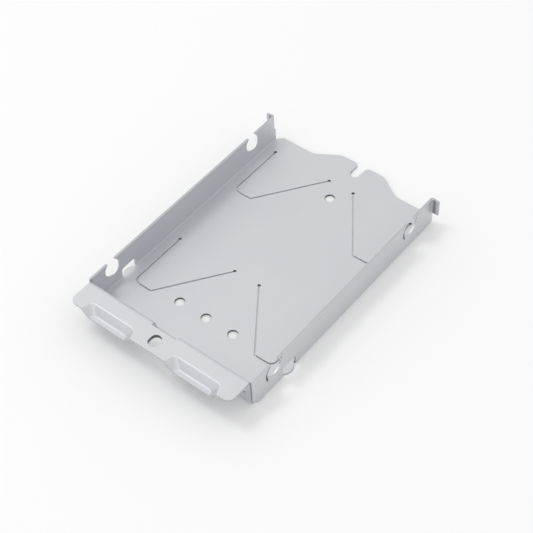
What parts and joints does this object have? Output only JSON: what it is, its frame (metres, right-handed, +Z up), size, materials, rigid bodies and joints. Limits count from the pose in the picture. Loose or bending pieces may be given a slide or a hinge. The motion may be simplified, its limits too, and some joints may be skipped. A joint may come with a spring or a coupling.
{
  "type": "hard drive mounting bracket",
  "caption": "Folded sheet-steel tray that carries a small hard drive, with side notches for its screws, spring tongues in the floor and a front lip with finger pads.",
  "frame": {"origin": "underside of the floor, on the centre line, half way between the front and rear drive notches", "axes": "+X towards the right wall seen from the lip, +Y from the lip towards the rear, +Z up from the floor"},
  "size_m": [0.0774, 0.1191, 0.0126],
  "materials": {
    "plated_steel": "satin"
  },
  "bodies": {
    "root": {"drive_bracket": "plated_steel"}
  },
  "joints": []
}
